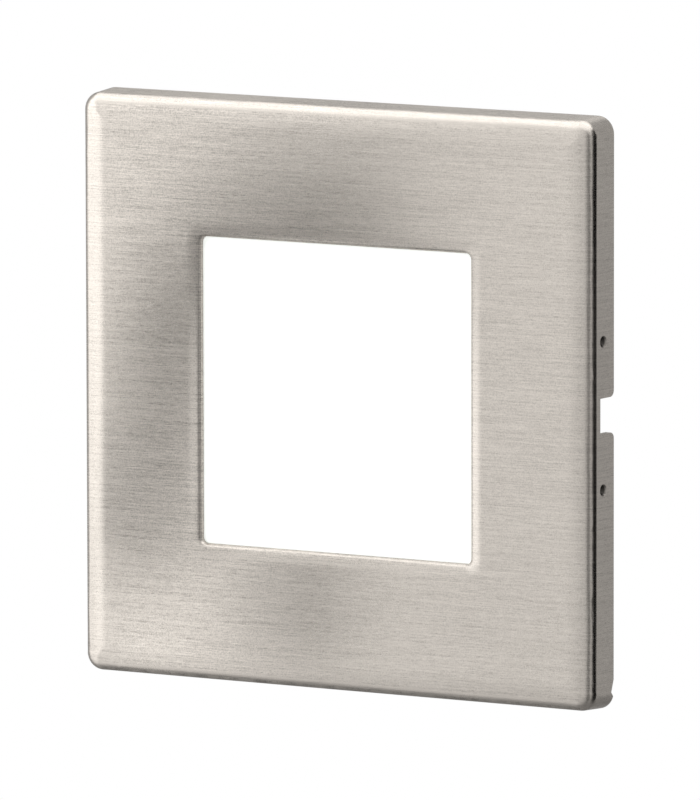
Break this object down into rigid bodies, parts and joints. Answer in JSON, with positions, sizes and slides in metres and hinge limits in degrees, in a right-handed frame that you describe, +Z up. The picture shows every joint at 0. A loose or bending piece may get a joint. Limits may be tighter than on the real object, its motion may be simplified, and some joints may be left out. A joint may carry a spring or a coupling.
{
  "type": "recessed wall light",
  "caption": "Square recessed wall light: a brushed steel push-fit cover with an opal window, over a plastic housing with sprung clips and a push-in supply terminal.",
  "frame": {"origin": "middle of the wall seat, on the rear face of the wall gasket", "axes": "+Y into the wall, +Z up, +X to the right as seen from the front, which faces -Y"},
  "size_m": [0.08, 0.0406, 0.08],
  "materials": {
    "cover_steel": "brushed stainless, grain across the face",
    "opal": "opal acrylic, satin",
    "frame_plastic": "moulded, fine texture",
    "housing_plastic": "moulded, fine texture",
    "foam": "closed-cell foam",
    "silicone": "silicone, satin",
    "reflector_white": "white, half gloss",
    "board_white": "white solder mask on aluminium",
    "phosphor": "phosphor gel",
    "pad_grey": "gap pad",
    "aluminium": "milled",
    "board_green": "solder mask",
    "sleeve_black": "shrink sleeve",
    "winding": "enamelled copper",
    "film_yellow": "epoxy dip",
    "chip_black": "moulded epoxy",
    "resistor_green": "lacquer",
    "zinc": "zinc plated",
    "wire_red": "insulated wire",
    "wire_black": "insulated wire",
    "terminal_grey": "moulded, smooth",
    "button_orange": "moulded, smooth",
    "contact_brass": "tinned brass strip",
    "spring_steel": "drawn wire and strip",
    "pad_rubber": "moulded rubber"
  },
  "bodies": {
    "base": {"carrier_frame": "frame_plastic", "wall_gasket": "foam", "diffuser": "opal", "diffuser_gasket": "silicone", "housing": "housing_plastic", "housing_gasket": "silicone", "housing_screws": "zinc", "reflector": "reflector_white", "led_board": "board_white", "led_chips": "phosphor", "board_screws": "zinc", "thermal_pad": "pad_grey", "heat_spreader": "aluminium", "spreader_screws": "zinc", "driver_board": "board_green", "driver_capacitor": "sleeve_black", "driver_choke": "winding", "film_capacitor": "film_yellow", "bridge_rectifier": "chip_black", "driver_chip": "chip_black", "fuse_resistor": "resistor_green", "driver_screws": "zinc", "positive_lead": "wire_red", "negative_lead": "wire_black", "terminal_block": "terminal_grey", "terminal_contacts": "contact_brass", "live_spring": "spring_steel", "neutral_spring": "spring_steel", "clip_pins": "zinc", "upper_clip_spring": "spring_steel", "lower_clip_spring": "spring_steel"},
    "cover": {"front_cover": "cover_steel"},
    "upper_clip_arm": {"upper_clip": "zinc", "upper_clip_pad": "pad_rubber"},
    "lower_clip_arm": {"lower_clip": "zinc", "lower_clip_pad": "pad_rubber"},
    "live_release": {"live_button": "button_orange"},
    "neutral_release": {"neutral_button": "button_orange"}
  },
  "joints": [
    {"name": "cover_pull", "type": "slide", "parent": "base", "child": "cover", "axis": [0, -1, 0], "range_m": [0, 0.025]},
    {"name": "upper_clip_hinge", "type": "hinge", "parent": "base", "child": "upper_clip_arm", "pos_m": [0, 0.0115, 0.0269], "axis": [-1, 0, 0], "range_deg": [0, 108], "stiffness_Nm_per_rad": 0.026, "springref_deg": -57.3, "deforming": ["upper_clip_spring"]},
    {"name": "lower_clip_hinge", "type": "hinge", "parent": "base", "child": "lower_clip_arm", "pos_m": [0, 0.0115, -0.0269], "axis": [1, 0, 0], "range_deg": [0, 108], "stiffness_Nm_per_rad": 0.026, "springref_deg": -57.3, "deforming": ["lower_clip_spring"]},
    {"name": "live_press", "type": "slide", "parent": "base", "child": "live_release", "axis": [0, -1, 0], "range_m": [0, 0.001], "stiffness_N_per_m": 4000, "springref_m": -0.0005, "deforming": ["live_spring"]},
    {"name": "neutral_press", "type": "slide", "parent": "base", "child": "neutral_release", "axis": [0, -1, 0], "range_m": [0, 0.001], "stiffness_N_per_m": 4000, "springref_m": -0.0005, "deforming": ["neutral_spring"]}
  ]
}
